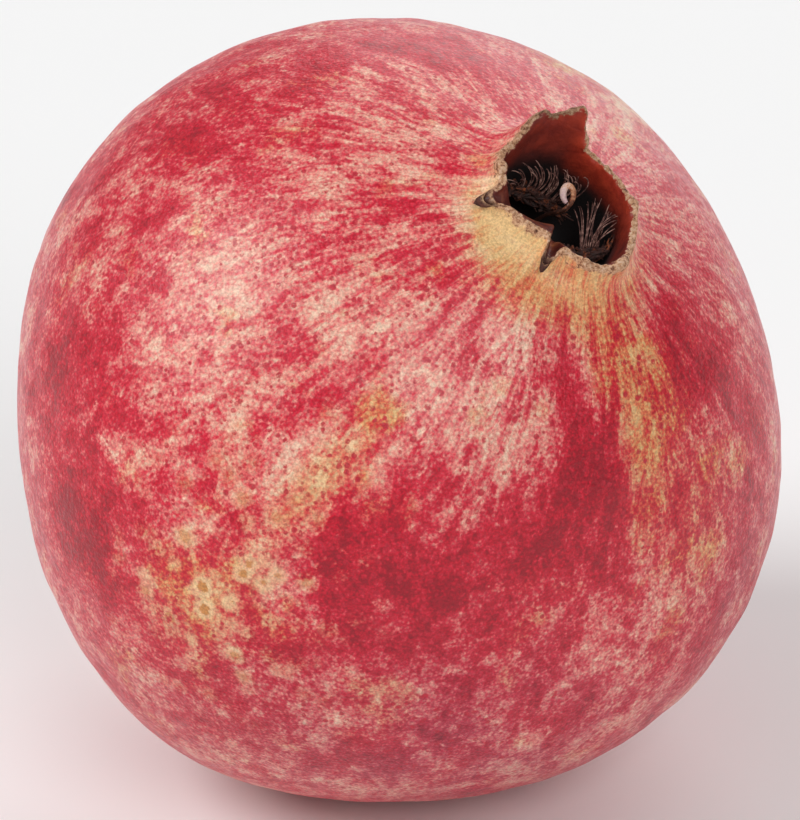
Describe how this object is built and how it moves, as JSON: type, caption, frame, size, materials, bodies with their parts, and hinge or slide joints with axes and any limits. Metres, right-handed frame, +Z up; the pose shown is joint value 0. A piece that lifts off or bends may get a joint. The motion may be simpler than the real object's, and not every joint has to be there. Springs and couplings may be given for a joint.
{
  "type": "pomegranate",
  "caption": "Whole fresh pomegranate with a mottled red rind, an open dried calyx and its stamens, lying on a small flat spot.",
  "frame": {"origin": "middle of the fruit's outline, on the surface that it rests on", "axes": "+Z up from the resting spot; the calyx is raised towards -Y, the front, and +X, the right"},
  "size_m": [0.0938, 0.0962, 0.0956],
  "materials": {
    "rind": "satin",
    "dried_stamen": "matte",
    "dried_style": "matte",
    "stalk_wood": "matte"
  },
  "bodies": {
    "root": {"rind_with_calyx": "rind", "stamen_upper_01": "dried_stamen", "stamen_upper_02": "dried_stamen", "stamen_upper_03": "dried_stamen", "stamen_upper_04": "dried_stamen", "stamen_upper_05": "dried_stamen", "stamen_upper_06": "dried_stamen", "stamen_upper_07": "dried_stamen", "stamen_upper_08": "dried_stamen", "stamen_upper_09": "dried_stamen", "stamen_upper_10": "dried_stamen", "stamen_upper_11": "dried_stamen", "stamen_upper_12": "dried_stamen", "stamen_lower_01": "dried_stamen", "stamen_lower_02": "dried_stamen", "stamen_lower_03": "dried_stamen", "stamen_lower_04": "dried_stamen", "stamen_lower_05": "dried_stamen", "stamen_lower_06": "dried_stamen", "stamen_lower_07": "dried_stamen", "stamen_lower_08": "dried_stamen", "stamen_lower_09": "dried_stamen", "stamen_lower_10": "dried_stamen", "style": "dried_style", "stalk_stub": "stalk_wood"}
  },
  "joints": []
}
